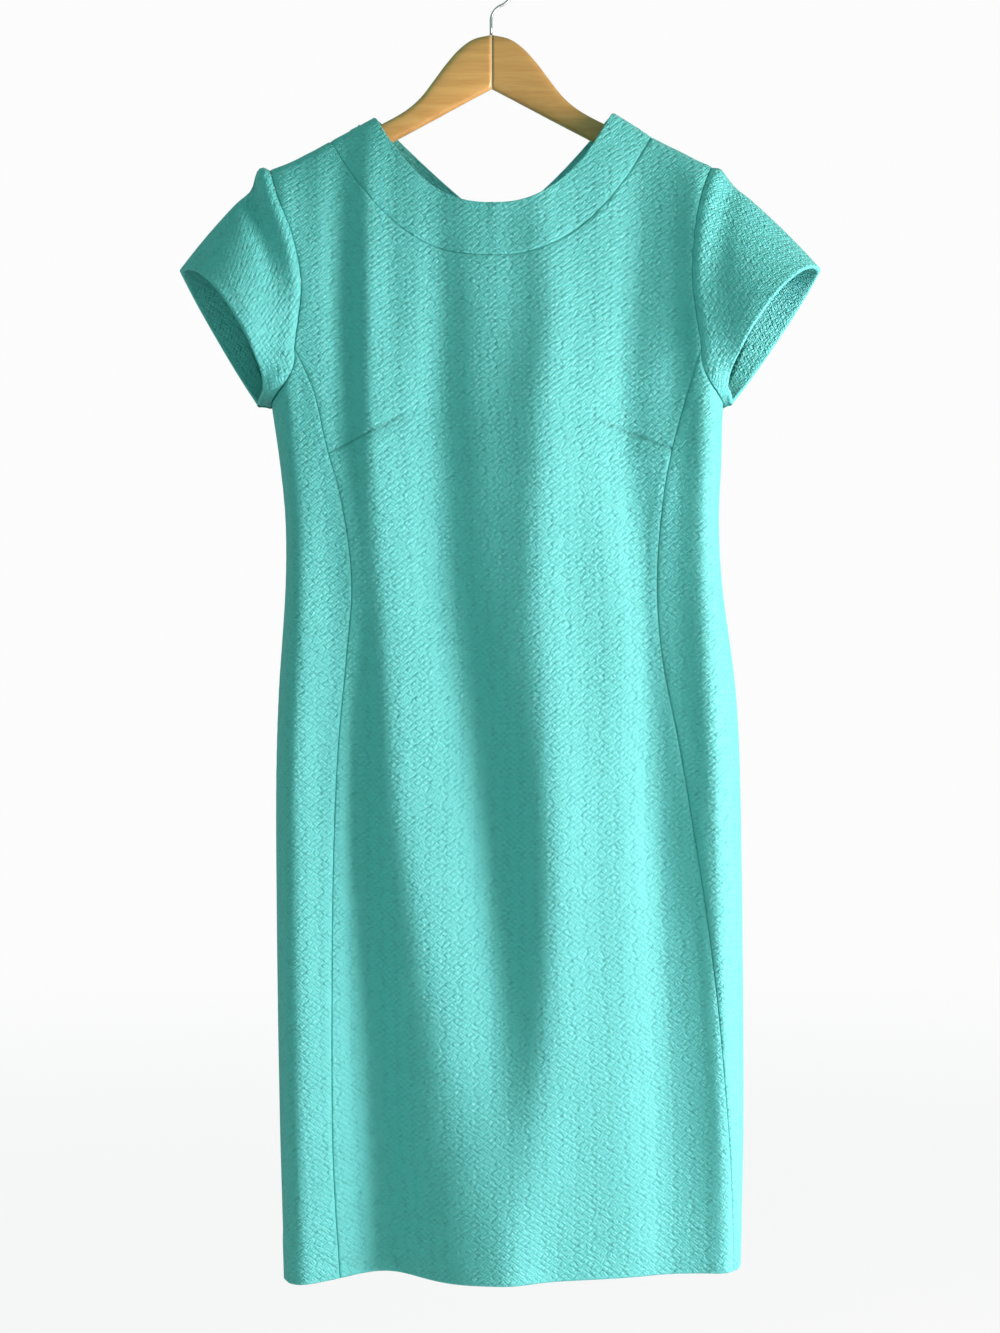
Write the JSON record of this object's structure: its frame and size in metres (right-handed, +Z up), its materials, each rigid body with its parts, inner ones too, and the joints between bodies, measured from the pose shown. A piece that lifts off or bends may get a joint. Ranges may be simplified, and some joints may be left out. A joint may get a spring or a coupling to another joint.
{
  "type": "sheath dress on hanger",
  "caption": "Knee-length sheath dress in teal puffed jacquard with short sleeves, a wide round neckband and princess seams, hanging on a wooden hanger with a wire hook.",
  "frame": {"origin": "seat of the hook: the highest point inside its loop, where a rail carries it", "axes": "+Z up, the front of the dress faces -Y, and the wearer's right side is at -X"},
  "size_m": [0.5516, 0.139, 1.139],
  "materials": {
    "teal_jacquard": "puffed polyester jacquard in light teal, matt with a faint sheen, woven with small raised pebbles between winding grooves",
    "varnished_beech": "honey-coloured beech under satin varnish, grain along the arms",
    "steel_wire": "plain drawn steel wire, bright and smooth"
  },
  "bodies": {
    "root": {"front_centre": "teal_jacquard", "side_front_right": "teal_jacquard", "side_front_left": "teal_jacquard", "back_right": "teal_jacquard", "back_left": "teal_jacquard", "sleeve_right": "teal_jacquard", "sleeve_left": "teal_jacquard", "neckband_front": "teal_jacquard", "neckband_back_right": "teal_jacquard", "neckband_back_left": "teal_jacquard", "hanger_arm_right": "varnished_beech", "hanger_arm_left": "varnished_beech", "hook": "steel_wire"}
  },
  "joints": []
}
